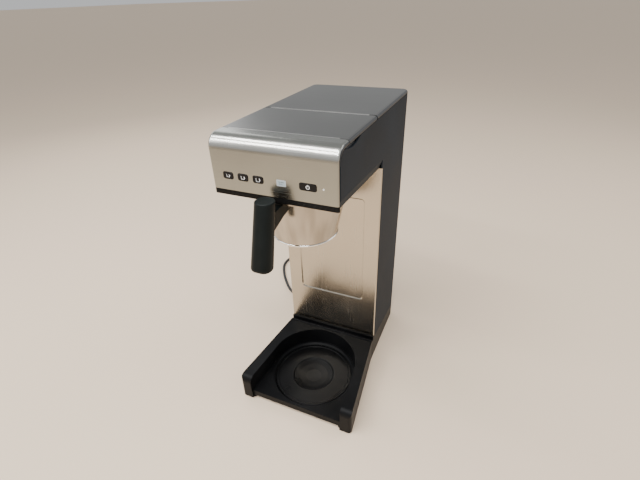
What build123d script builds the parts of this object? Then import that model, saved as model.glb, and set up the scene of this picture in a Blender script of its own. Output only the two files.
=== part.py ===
from build123d import *
import math
import os

# Filter coffee machine for an insulated jug, in millimetres.
# Origin: centre of the overall footprint on the table. +X to the user's right, -Y the user's side, +Z up.

# Overall driving sizes
HEIGHT = 545.0  # table to the flat top
REAR_Y = 210.0  # back face of the column
BODY_WIDTH = 195.0  # column and head
HEAD_FRONT_Y = -149.0  # steel face with the buttons
COLUMN_FRONT_Y = 48.0  # steel splash plate
BREW_Y = -58.0  # axis of basket, spray head and jug recess

# Sheets, walls and gaps
STEEL = 1.2
PANEL_WALL = 2.5
SEAM = 1.2
SMALL_GAP = 0.4
TOP_EDGE_R = 5.0
FRONT_TOP_R = 20.0
REAR_EDGE_R = 12.0

# Head
HEAD_FRONT_HEIGHT = 86.0
HEAD_REAR_HEIGHT = 98.0
TRIM_HEIGHT = 8.0
TOP_SHEET_DROP = 6.0
HEAD_BOTTOM_FRONT_Z = HEIGHT - HEAD_FRONT_HEIGHT
HEAD_BOTTOM_REAR_Z = HEIGHT - HEAD_REAR_HEIGHT
FRONT_SHEET_BOTTOM_Z = HEAD_BOTTOM_FRONT_Z + TRIM_HEIGHT
SIDE_TOP_Z = HEIGHT - TOP_SHEET_DROP
HEAD_ROOF_Z = HEAD_BOTTOM_FRONT_Z + 5.0
HEAD_ROOF_WALL = 3.0
FAR = 2 * HEIGHT  # length of cutting blocks that reach past everything
BEVEL_HEIGHT = 16.0
BEVEL_DEPTH = 6.0

# Lid in the top
LID_FRONT_Y = -113.0
LID_REAR_Y = 6.2
LID_REAR_GAP = 2.7
LID_BARREL_R = 2.6
LID_CORNER_CUT = 0.6
LID_PIVOT_Z = HEIGHT - STEEL - LID_BARREL_R
LID_PIVOT_SETBACK = 2.0
LID_EAR_R = LID_BARREL_R - 0.4
LID_PIN_R = 1.5
PIN_CLEARANCE = 0.05
LID_NOTCH_LENGTH = 65.0
LID_NOTCH_DEPTH = 6.0
LID_NOTCH_FRONT_Y = -133.0

# Base
BASE_BOTTOM_Z = 2.5
BASE_FRONT_Y = -151.0
BASE_FRONT_WIDTH = 235.0
FLARE_END_Y = 35.0
DECK_Z = 57.0
PLINTH_REAR_Z = 30.0
BASE_WALL = 3.0
ARM_INNER_FRONT_X = 95.0
ARM_NOSE_R = 14.0
ARM_CORNER_R = 6.0
POCKET_R = 87.0
FLOOR_Z = 21.0
FLOOR_SETBACK = 4.0
FLOOR_LIP_BOTTOM_Z = 8.0
SKIRT_TOP_Z = 61.0
GUTTER_WIDTH = 7.0
GUTTER_DEPTH = 4.0
BEAD_R = 2.0

# Drip disc in the jug recess
DISC_R = 79.0
DISC_TOP_Z = 16.5
DISC_THICKNESS = 3.5
DISC_CLEARANCE = 0.5
RECESS_BEVEL = 3.5
DISH_R = 40.0
DISH_STEP = 3.0
DISH_DEPTH = 8.0
DISH_WALL = 1.6

# Brew basket
BASKET_BOTTOM_R = 54.0
BASKET_TOP_R = 65.5
BASKET_WALL = 1.0
BASKET_RING_R = 2.4
FLANGE_BOTTOM_Z = HEAD_BOTTOM_FRONT_Z - 7.6
BASKET_DEPTH = 82.4
BASKET_BOTTOM_Z = FLANGE_BOTTOM_Z - BASKET_DEPTH
FLANGE_THICKNESS = 2.4
FLANGE_R = 84.0
FLANGE_HALF_WIDTH = 81.0
FLANGE_GAP = 0.5
SPOUT_R = 9.0
SPOUT_BORE_R = 3.5
SPOUT_LENGTH = 12.0
RAIL_THICKNESS = 1.2
RAIL_LIP = 6.0

# Basket handle
GRIP_TOP_Y = -171.0
GRIP_TOP_Z = HEAD_BOTTOM_FRONT_Z + 12.0
GRIP_TOP_R = 13.0
GRIP_BOTTOM_Y = -197.0
GRIP_LENGTH = 94.0
GRIP_BOTTOM_Z = GRIP_TOP_Z - GRIP_LENGTH
GRIP_BOTTOM_HALF_WIDTH = 16.0
GRIP_BOTTOM_HALF_DEPTH = 13.0
GRIP_EDGE_R = 4.0
ARM_TOP_Z = FLANGE_BOTTOM_Z - 0.8
ARM_DEPTH = 28
ARM_END_DEPTH = 13.6
ARM_WIDTH = 16.0
ARM_UNDER_R = 16.0

# Vent slots in the back panel
VENT_LOW_Z = 130.0
VENT_TOP_DROP = 115.0
VENT_PITCH = 12.0
VENT_WIDTH = 3.0
VENT_HEIGHT = 40.0
VENT_HALF_FIELD = 54.0

# Splash plate relief
RELIEF_HALF_WIDTH = 69.0
RELIEF_BOTTOM_Z = 153.0
RELIEF_TOP_Z = HEIGHT - 160.0
RELIEF_CORNER_R = 8.0
RELIEF_DEPTH = 1.6
RELIEF_BEVEL = 2.4
PLATE_EDGE_R = 2.5
PLATE_FLANGE = 12.0

# Controls on the front sheet
CONTROL_Z = FRONT_SHEET_BOTTOM_Z + 22.0
BREW_BUTTON_X = [-69.0, -45.0, -21.0]
BREW_BUTTON_WIDTH = 16.5
BUTTON_HEIGHT = 10.5
BUTTON_CORNER_R = 3.2
POWER_BUTTON_X = 53.5
POWER_BUTTON_WIDTH = 25.0
BUTTON_PROUD = 0.8
BUTTON_TRAVEL = 0.8
BUTTON_CLEARANCE = 0.3
BUTTON_FLANGE = 1.0
BUTTON_STEM_R = 2.0
DISPLAY_X = 14.5
DISPLAY_WIDTH = 14.0
DISPLAY_HEIGHT = 9.0
LAMP_X = 75.5
LAMP_R = 1.3
BOARD_GAP = 9.0
BOARD_THICKNESS = 1.6

# Water system
TANK_WALL = 2.0
TANK_BOTTOM_Z = HEIGHT - 61.0
TANK_REAR_Y = 150.0
TANK_FRONT_GAP = 8.0
TANK_RIM_GAP = 1.0
HOSE_R = 6.0
HOSE_BORE_R = 4.0
SPRAY_R = 30.0
SPRAY_BOTTOM_Z = HEAD_ROOF_Z - HEAD_ROOF_WALL - 3.0
SPRAY_NECK_R = 12.0
HOSE_Z = SPRAY_BOTTOM_Z + 14.0
OUTLET_X = -60.0
OUTLET_Y = 120.0
NIPPLE_X = 60.0
HEATER_R = 24.0
HEATER_LENGTH = 150.0
BOARD_Z = 250.0
BOARD_FRONT_Y = 84.0
HEATER_Y = 130.0
HEATER_Z = 110.0

# Feet and fasteners
FOOT_R = 7.0
FOOT_RECESS = 1.5
SCREW_HEAD_R = 3.6
SCREW_HEAD_HEIGHT = 2.0
SCREW_SHANK_R = 1.5

# Mains lead: diameter, height of its centre line on the table, and the hand-placed route
CORD_R = 3.5
CORD_EXIT_Y = 158.0
CORD_EXIT_Z = 20.0
GLAND_LENGTH = 20.0
COIL_X = -154.0
COIL_Y = 334.0
COIL_LIFT = 1.2
COIL_OUTER_R = 46.0
COIL_STEP = 7.7
COIL_LAYER_RISE = 7.7
COIL_TURNS = 2

HALF = BODY_WIDTH / 2
os.makedirs("parts", exist_ok=True)


def save(name, *solids):
    """Write one node; several solids stay separate solids in it."""
    shape = solids[0] if len(solids) == 1 else Compound(children=list(solids))
    export_step(shape, f"parts/{name}.step")


def block(x0, x1, y0, y1, z0, z1):
    """A box from its low and high corners."""
    return Pos((x0 + x1) / 2, (y0 + y1) / 2, (z0 + z1) / 2) * Box(x1 - x0, y1 - y0, z1 - z0)


def side_profile(points, x0, x1):
    """Extrude a closed (y, z) outline from x0 to x1."""
    wire = Polyline(*[(x0, y, z) for y, z in points], close=True)
    return extrude(make_face(wire), x1 - x0, dir=(1, 0, 0))


def rounded_bar(width, height, radius, x, z, y0, y1):
    """A rounded rectangle in the XZ plane, extruded along Y from y0 to y1."""
    plane = Plane(origin=(x, y0, z), x_dir=(1, 0, 0), z_dir=(0, 1, 0))
    return extrude(plane * RectangleRounded(width, height, radius), y1 - y0)


def rod(radius, start, end):
    """A round bar between two points."""
    a, b = Vector(*start), Vector(*end)
    return extrude(Plane(origin=a, z_dir=b - a) * Circle(radius), (b - a).length)


def head_bottom_z(y):
    """Height of the sloping lower edge of the head at y."""
    share = (y - HEAD_FRONT_Y) / (COLUMN_FRONT_Y - HEAD_FRONT_Y)
    return HEAD_BOTTOM_FRONT_Z + share * (HEAD_BOTTOM_REAR_Z - HEAD_BOTTOM_FRONT_Z)


def plinth_z(y):
    """Height of the sloping joint between base and side panels at y."""
    share = (y - COLUMN_FRONT_Y) / (REAR_Y - COLUMN_FRONT_Y)
    return DECK_Z + share * (PLINTH_REAR_Z - DECK_Z)


def envelope(inset):
    """Outer form of column and head, moved in by inset on every side."""
    half = HALF - inset
    front, rear, top = HEAD_FRONT_Y + inset, REAR_Y - inset, HEIGHT - inset
    column = COLUMN_FRONT_Y + inset
    form = side_profile(
        [
            (front, head_bottom_z(front) + inset),
            (front, top),
            (rear, top),
            (rear, 0),
            (column, 0),
            (column, head_bottom_z(column) + inset),
        ],
        -half,
        half,
    )
    rear_edges = [e for e in form.edges().filter_by(Axis.Z) if e.center().Y > rear - 1]
    form = fillet(rear_edges, REAR_EDGE_R - inset)
    nose = [e for e in form.edges().filter_by(Axis.X) if e.center().Z > top - 1 and e.center().Y < front + 1]
    form = fillet(nose, FRONT_TOP_R - inset)
    rim = [
        e
        for e in form.edges()
        if (e.center().Z > top - 1e-3 and abs(e.tangent_at(0).Z) < 1e-6 and abs(e.center().X) > half - REAR_EDGE_R)
        or (e.center().Z > top - 1e-3 and e.center().Y > rear - 1)
        or (abs(e.center().X) > half - 1e-3 and e.center().Y < front + FRONT_TOP_R and e.center().Z > head_bottom_z(front) + 20)
    ]
    return fillet(rim, TOP_EDGE_R - inset)


OUTER = envelope(0)
STEEL_SKIN = OUTER - envelope(STEEL)
PLASTIC_SKIN = OUTER - envelope(PANEL_WALL)


PANEL_FRONT_Y = HEAD_FRONT_Y + PANEL_WALL + SEAM
PIVOT_Y = LID_REAR_Y - LID_PIVOT_SETBACK
CHASSIS_X = HALF - 5.7


def side_region(grow):
    """Side outline of the dark panels, grown by a seam."""
    region = side_profile(
        [
            (PANEL_FRONT_Y - grow, HEIGHT / 2),
            (PANEL_FRONT_Y - grow, SIDE_TOP_Z + grow),
            (REAR_Y + 5, SIDE_TOP_Z + grow),
            (REAR_Y + 5, -1),
            (COLUMN_FRONT_Y - 20, -1),
            (COLUMN_FRONT_Y - 20, HEIGHT / 2),
        ],
        -HALF - 2,
        HALF + 2,
    )
    nose = [e for e in region.edges().filter_by(Axis.X) if e.center().Y < PANEL_FRONT_Y + 1 and e.center().Z > HEAD_BOTTOM_FRONT_Z]
    return fillet(nose, FRONT_TOP_R - 3)


PANEL_SIDE = side_region(0)
PANEL_SIDE_GAP = side_region(SEAM * 0.6)


def side_panels():
    """Dark side panels: flat, rolled round the rear edge, bevelled along the head's lower edge."""
    join_x = HALF - REAR_EDGE_R
    keep = block(HALF - PANEL_WALL, HALF + 1, HEAD_FRONT_Y, REAR_Y - REAR_EDGE_R, 0, HEIGHT)
    keep += block(join_x, HALF + 1, REAR_Y - REAR_EDGE_R, REAR_Y + 1, 0, HEIGHT)
    panel = PLASTIC_SKIN & PANEL_SIDE & keep
    below_joint = side_profile(
        [
            (COLUMN_FRONT_Y - 1, -1),
            (REAR_Y + 1, -1),
            (REAR_Y + 1, plinth_z(REAR_Y) + SMALL_GAP),
            (COLUMN_FRONT_Y, DECK_Z + SMALL_GAP),
            (COLUMN_FRONT_Y - 1, DECK_Z + SMALL_GAP),
        ],
        0,
        HALF + 1,
    )
    panel -= below_joint
    plate_return = block(80, HALF + 1, COLUMN_FRONT_Y - 1, COLUMN_FRONT_Y + PANEL_WALL + SEAM, 0, HEAD_BOTTOM_REAR_Z)
    panel -= plate_return
    y0, y1 = PANEL_FRONT_Y, COLUMN_FRONT_Y - SMALL_GAP
    z0, z1 = head_bottom_z(y0), head_bottom_z(y1)
    path = Vector(0, y1 - y0, z1 - z0)
    rail_section = [
        (HALF - PANEL_WALL, z0 + BEVEL_HEIGHT),
        (HALF, z0 + BEVEL_HEIGHT),
        (HALF - BEVEL_DEPTH, z0),
        (HALF - BEVEL_DEPTH - PANEL_WALL, z0),
        (HALF - BEVEL_DEPTH - PANEL_WALL, z0 + PANEL_WALL),
    ]
    shave_section = [
        (HALF + 1, z0 - 1),
        (HALF + 1, z0 + BEVEL_HEIGHT),
        (HALF, z0 + BEVEL_HEIGHT),
        (HALF - BEVEL_DEPTH, z0),
        (HALF - BEVEL_DEPTH, z0 - 1),
    ]
    rail_face = make_face(Polyline(*[(x, y0, z) for x, z in rail_section], close=True))
    shave_face = make_face(Polyline(*[(x, y0, z) for x, z in shave_section], close=True))
    panel -= extrude(shave_face, path.length, dir=path)
    panel += extrude(rail_face, path.length, dir=path)
    notch_mid = LID_NOTCH_FRONT_Y + LID_NOTCH_LENGTH / 2
    notch_r = (LID_NOTCH_LENGTH**2 / 4 + LID_NOTCH_DEPTH**2) / (2 * LID_NOTCH_DEPTH)
    notch_z = SIDE_TOP_Z - LID_NOTCH_DEPTH + notch_r
    panel -= rod(notch_r, (HALF - PANEL_WALL - 1, notch_mid, notch_z), (HALF + 1, notch_mid, notch_z))
    panel = panel.solids().sort_by(SortBy.VOLUME)[-1]
    save("right_side_panel", panel)
    left = mirror(panel, Plane.YZ)
    entry = (-HALF - 1, CORD_EXIT_Y, CORD_EXIT_Z)
    save("left_side_panel", left - rod(8.4, entry, (-HALF + 4, CORD_EXIT_Y, CORD_EXIT_Z)))


def top_sheets():
    """Front sheet with the controls, the lifting lid and the fixed rear cover, cut from one steel skin."""
    skin = STEEL_SKIN - PANEL_SIDE_GAP.intersect(
        block(HALF - STEEL - 0.2, HALF + 2, -FAR, FAR, 0, FAR) + block(-HALF - 2, -HALF + STEEL + 0.2, -FAR, FAR, 0, FAR)
    )
    wide = HALF + 2
    front = skin & (
        block(-wide, wide, -FAR, HEAD_FRONT_Y + PANEL_WALL, FRONT_SHEET_BOTTOM_Z, FAR)
        + block(-wide, wide, -FAR, LID_FRONT_Y - SEAM, HEIGHT - FRONT_TOP_R - 4, FAR)
    )
    for x in BREW_BUTTON_X:
        front -= rounded_bar(
            BREW_BUTTON_WIDTH + 2 * BUTTON_CLEARANCE,
            BUTTON_HEIGHT + 2 * BUTTON_CLEARANCE,
            BUTTON_CORNER_R + BUTTON_CLEARANCE,
            x,
            CONTROL_Z,
            HEAD_FRONT_Y - 2,
            HEAD_FRONT_Y + 4,
        )
    front -= rounded_bar(
        POWER_BUTTON_WIDTH + 2 * BUTTON_CLEARANCE,
        BUTTON_HEIGHT + 2 * BUTTON_CLEARANCE,
        BUTTON_CORNER_R + BUTTON_CLEARANCE,
        POWER_BUTTON_X,
        CONTROL_Z,
        HEAD_FRONT_Y - 2,
        HEAD_FRONT_Y + 4,
    )
    front -= rounded_bar(DISPLAY_WIDTH + 0.1, DISPLAY_HEIGHT + 0.1, 1.05, DISPLAY_X, CONTROL_Z, HEAD_FRONT_Y - 2, HEAD_FRONT_Y + 4)
    front -= rod(LAMP_R + 0.05, (LAMP_X, HEAD_FRONT_Y - 2, CONTROL_Z), (LAMP_X, HEAD_FRONT_Y + 4, CONTROL_Z))
    save("front_panel", front.solids().sort_by(SortBy.VOLUME)[-1])
    lid = skin & block(-wide, wide, LID_FRONT_Y, LID_REAR_Y, SIDE_TOP_Z, FAR)
    lid = lid.solids().sort_by(SortBy.VOLUME)[-1]
    for side in (-1, 1):
        x0, x1 = sorted((side * (HALF - 3), side * (HALF + 2)))
        lid -= block(x0, x1, PIVOT_Y - 1.2, LID_REAR_Y + 1, SIDE_TOP_Z - 1, LID_PIVOT_Z + 0.6)
        lid -= block(x0, x1, LID_REAR_Y - LID_CORNER_CUT, LID_REAR_Y + 1, SIDE_TOP_Z - 1, FAR)
        near, far = 70 * side, 86 * side
        barrel = rod(LID_BARREL_R, (near, PIVOT_Y, LID_PIVOT_Z), (far, PIVOT_Y, LID_PIVOT_Z))
        barrel += block(min(near, far), max(near, far), PIVOT_Y - 10, PIVOT_Y, HEIGHT - STEEL - 1.8, HEIGHT - STEEL)
        barrel -= rod(LID_PIN_R + PIN_CLEARANCE, (near - side, PIVOT_Y, LID_PIVOT_Z), (far + side, PIVOT_Y, LID_PIVOT_Z))
        lid += barrel
    save("reservoir_lid", lid)
    rear = skin & block(-wide, wide, LID_REAR_Y + LID_REAR_GAP, REAR_Y + 1, SIDE_TOP_Z + SEAM * 0.6, FAR)
    save("rear_top_cover", rear.solids().sort_by(SortBy.VOLUME)[-1])


def rear_cover():
    """Flat back panel with two fields of vent slots."""
    half = HALF - REAR_EDGE_R - SMALL_GAP
    cover = block(-half, half, REAR_Y - PANEL_WALL, REAR_Y, PLINTH_REAR_Z + 2 * SMALL_GAP, SIDE_TOP_Z)
    slots = [
        rounded_bar(VENT_WIDTH, VENT_HEIGHT, VENT_WIDTH / 2 - 0.1, -VENT_HALF_FIELD + i * VENT_PITCH, z, REAR_Y - 5, REAR_Y + 1)
        for z in (VENT_LOW_Z, HEIGHT - VENT_TOP_DROP)
        for i in range(int(2 * VENT_HALF_FIELD / VENT_PITCH) + 1)
    ]
    cover -= slots
    save("rear_cover", cover)


def splash_plate():
    """Steel plate on the column's front with a recessed field."""
    plate = block(-HALF, HALF, COLUMN_FRONT_Y, COLUMN_FRONT_Y + PANEL_WALL, SKIRT_TOP_Z + SMALL_GAP, HEAD_BOTTOM_REAR_Z - SMALL_GAP)
    plate = fillet([e for e in plate.edges().filter_by(Axis.Z) if e.center().Y < COLUMN_FRONT_Y + 0.1], PLATE_EDGE_R - 0.1)
    plate -= block(-HALF + STEEL, HALF - STEEL, COLUMN_FRONT_Y + STEEL, COLUMN_FRONT_Y + 9, 0, FAR)
    for side in (-1, 1):
        x0, x1 = sorted((side * (HALF - STEEL - 3.0), side * (HALF - STEEL - 1.8)))
        plate += block(x0, x1, COLUMN_FRONT_Y + STEEL, COLUMN_FRONT_Y + PLATE_FLANGE, SKIRT_TOP_Z + 9, HEAD_BOTTOM_REAR_Z - 7)
    middle = (RELIEF_BOTTOM_Z + RELIEF_TOP_Z) / 2
    taper = math.degrees(math.atan(RELIEF_BEVEL / RELIEF_DEPTH))
    field = RectangleRounded(2 * RELIEF_HALF_WIDTH, RELIEF_TOP_Z - RELIEF_BOTTOM_Z, RELIEF_CORNER_R)
    back = Plane(origin=(0, COLUMN_FRONT_Y + STEEL, middle), x_dir=(1, 0, 0), z_dir=(0, 1, 0))
    front = Plane(origin=(0, COLUMN_FRONT_Y, middle), x_dir=(1, 0, 0), z_dir=(0, 1, 0))
    plate += extrude(back * field, RELIEF_DEPTH, taper=taper)
    plate -= extrude(front * field, RELIEF_DEPTH, taper=taper)
    save("splash_plate", plate)


def base_plan(inset):
    """Plan outline of the base, moved in by inset."""
    front = BASE_FRONT_Y + inset
    slope = (BASE_FRONT_WIDTH / 2 - HALF) / (FLARE_END_Y - BASE_FRONT_Y)
    wide = BASE_FRONT_WIDTH / 2 - slope * inset - inset
    half, rear = HALF - inset, REAR_Y - inset
    outline = Polyline((-wide, front), (-half, FLARE_END_Y), (-half, rear), (half, rear), (half, FLARE_END_Y), (wide, front), close=True)
    face = make_face(outline)
    face = fillet([v for v in face.vertices() if v.Y > rear - 1], REAR_EDGE_R - inset)
    return fillet([v for v in face.vertices() if v.Y < front + 1], max(ARM_CORNER_R - inset, 1.5))


def pocket_plan(grow):
    """Plan outline of the jug recess, open to the front."""
    front = BASE_FRONT_Y - 2
    circle = Pos(0, BREW_Y) * Circle(POCKET_R + grow)
    flare = ARM_INNER_FRONT_X + grow
    mouth = Polyline((-flare, front), (-POCKET_R - grow, BREW_Y), (POCKET_R + grow, BREW_Y), (flare, front), close=True)
    return circle + make_face(mouth)


def arm_middle_x(y):
    """Middle of an arm between the recess and the outer wall at y."""
    slope = (BASE_FRONT_WIDTH / 2 - HALF) / (FLARE_END_Y - BASE_FRONT_Y)
    outside = HALF + slope * (FLARE_END_Y - y)
    share = max((BREW_Y - y) / (BREW_Y - BASE_FRONT_Y), 0)
    inside = POCKET_R + share * (ARM_INNER_FRONT_X - POCKET_R)
    return (inside + outside) / 2


def base_form(inset):
    """Base block with its sloping side profile."""
    top = DECK_Z - inset
    slab = extrude(Pos(0, 0, BASE_BOTTOM_Z - (5 if inset else 0)) * base_plan(inset), 80)
    gutter_front = COLUMN_FRONT_Y - 3 - GUTTER_WIDTH
    skirt_top = SKIRT_TOP_Z if not inset else top - GUTTER_DEPTH + 0.5
    profile = side_profile(
        [
            (BASE_FRONT_Y + inset, -9),
            (BASE_FRONT_Y + inset, top),
            (gutter_front - inset, top),
            (gutter_front - inset, top - GUTTER_DEPTH),
            (COLUMN_FRONT_Y - 3 + inset, top - GUTTER_DEPTH),
            (COLUMN_FRONT_Y - 3 + inset, skirt_top),
            (COLUMN_FRONT_Y + 2.9, skirt_top),
            (COLUMN_FRONT_Y + 3, plinth_z(COLUMN_FRONT_Y + 3) - inset),
            (REAR_Y - inset, PLINTH_REAR_Z - inset),
            (REAR_Y - inset, -9),
        ],
        -130,
        130,
    )
    nose = [e for e in profile.edges().filter_by(Axis.X) if e.center().Y < BASE_FRONT_Y + inset + 1 and e.center().Z > 20]
    return slab & fillet(nose, ARM_NOSE_R - inset)


def base():
    """Black base: plinth, two arms, jug recess with well; bottom plate, feet and screws under it."""
    form = base_form(0)
    form += rod(BEAD_R, (-HALF + 1, COLUMN_FRONT_Y - 3 - GUTTER_WIDTH - BEAD_R, DECK_Z), (HALF - 1, COLUMN_FRONT_Y - 3 - GUTTER_WIDTH - BEAD_R, DECK_Z))
    recess_r = DISC_R + DISC_CLEARANCE
    recess_z = DISC_TOP_Z - DISC_THICKNESS
    well_r = DISH_R + 5
    form -= extrude(Pos(0, 0, FLOOR_Z) * pocket_plan(0), 90)
    form -= block(-ARM_INNER_FRONT_X + 1, ARM_INNER_FRONT_X - 1, BASE_FRONT_Y - 2, BASE_FRONT_Y + FLOOR_SETBACK, 0, 80)
    form -= Pos(0, BREW_Y, recess_z) * extrude(Circle(recess_r), 30)
    form -= Pos(0, BREW_Y, FLOOR_Z - RECESS_BEVEL) * extrude(Circle(recess_r), RECESS_BEVEL + 0.01, taper=-45)
    form -= Pos(0, BREW_Y, BASE_BOTTOM_Z + 2) * extrude(Circle(well_r), 30)
    lip = block(-90, 90, BASE_FRONT_Y - 2, BASE_FRONT_Y + 24, 0, FLOOR_LIP_BOTTOM_Z)
    form -= lip
    hollow = base_form(BASE_WALL)
    hollow -= extrude(Pos(0, 0, recess_z - BASE_WALL) * pocket_plan(BASE_WALL), 90)
    hollow -= Pos(0, BREW_Y, -9) * extrude(Circle(well_r + 2.5), 60)
    hollow -= block(-93, 93, BASE_FRONT_Y - 2, BASE_FRONT_Y + 27, -9, 90)
    bosses = [
        (x * s, y)
        for x, y in (
            (BASE_FRONT_WIDTH / 2 - 14.2, BASE_FRONT_Y + 13),
            (arm_middle_x(-20.0), -20.0),
            (HALF - 17.5, COLUMN_FRONT_Y + 12),
            (HALF - 17.5, REAR_Y - 20),
        )
        for s in (-1, 1)
    ]
    for x, y in bosses:
        hollow -= Pos(x, y, 4.5) * extrude(Circle(4.2), 60)
    form -= hollow
    for x, y in bosses:
        form -= Pos(x, y, 0) * extrude(Circle(SCREW_SHANK_R + 0.05), 16)
    form -= rod(7.05, (-HALF - 1, CORD_EXIT_Y, CORD_EXIT_Z), (-HALF + 6, CORD_EXIT_Y, CORD_EXIT_Z))
    vents = [block(-40, 40, y, y + 3, 20, 90) for y in range(70, 121, 10)]
    form -= vents
    form = form.solids().sort_by(SortBy.VOLUME)[-1]
    under = extrude(Pos(0, 0, BASE_BOTTOM_Z) * base_plan(BASE_WALL + 0.2), 2)
    under -= Pos(0, BREW_Y) * extrude(Circle(well_r + 2.5 + 0.2), 20)
    under -= block(-93.4, 93.4, BASE_FRONT_Y - 9, BASE_FRONT_Y + 27.4, 0, 9)
    front_foot_y = BASE_FRONT_Y + 39
    feet_at = [(arm_middle_x(front_foot_y) * s, front_foot_y) for s in (-1, 1)]
    feet_at += [((HALF - 15.5) * s, REAR_Y - 42) for s in (-1, 1)]
    feet = []
    for x, y in feet_at:
        under -= Pos(x, y) * extrude(Circle(FOOT_R + 0.05), BASE_BOTTOM_Z + FOOT_RECESS)
        foot = Pos(x, y) * extrude(Circle(FOOT_R), BASE_BOTTOM_Z + FOOT_RECESS)
        feet.append(chamfer(foot.edges().group_by(Axis.Z)[0], 0.8))
    screws = []
    for x, y in bosses:
        under -= Pos(x, y) * extrude(Circle(SCREW_SHANK_R + 0.1), 9)
        head = Pos(x, y, BASE_BOTTOM_Z - SCREW_HEAD_HEIGHT) * extrude(Circle(SCREW_HEAD_R), SCREW_HEAD_HEIGHT)
        screws.append(head + Pos(x, y, BASE_BOTTOM_Z) * extrude(Circle(SCREW_SHANK_R), 12))
    save("base_moulding", form)
    save("bottom_plate", under)
    save("rubber_feet", *feet)
    save("bottom_plate_screws", *screws)


def drip_disc():
    """Loose steel disc with a raised rim and a stepped dish."""
    z = DISC_TOP_Z
    wall = DISH_WALL
    low = z - DISC_THICKNESS
    profile = Polyline(
        (0, z - DISH_DEPTH - wall),
        (0, z - DISH_DEPTH),
        (16, z - DISH_DEPTH + 0.8),
        (30, z - DISH_DEPTH + 2.8),
        (DISH_R - 3.5, z - DISH_STEP - 0.6),
        (DISH_R - 2, z - DISH_STEP),
        (DISH_R, z - DISH_STEP + 0.4),
        (DISH_R + 2, z - 0.5),
        (DISH_R + 3.2, z),
        (DISC_R - 6, z),
        (DISC_R - 5, z + 1),
        (DISC_R - 1, z + 1),
        (DISC_R, z),
        (DISC_R, low),
        (DISC_R - wall, low),
        (DISC_R - wall, z - wall),
        (DISH_R + 4.4, z - wall),
        (DISH_R + 1.6, z - DISH_STEP - wall),
        (DISH_R - 3, z - DISH_STEP - 0.6 - wall),
        (30.6, z - DISH_DEPTH + 2.8 - wall),
        (16.3, z - DISH_DEPTH + 0.8 - wall),
        close=True,
    )
    disc = revolve(Plane.XZ * make_face(profile), Axis.Z)
    save("drip_disc", Pos(0, BREW_Y, 0) * disc)


def basket_wall(offset):
    """Bowl outline from the bottom edge to the flange, moved in by offset."""
    spread = BASKET_TOP_R - BASKET_BOTTOM_R
    shares = [(0, 0), (0.209, 0.158), (0.565, 0.376), (0.887, 0.595), (1, 0.813)]
    points = [(BASKET_BOTTOM_R + a * spread, BASKET_BOTTOM_Z + b * BASKET_DEPTH) for a, b in shares]
    return [(r - offset, z) for r, z in points]


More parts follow.
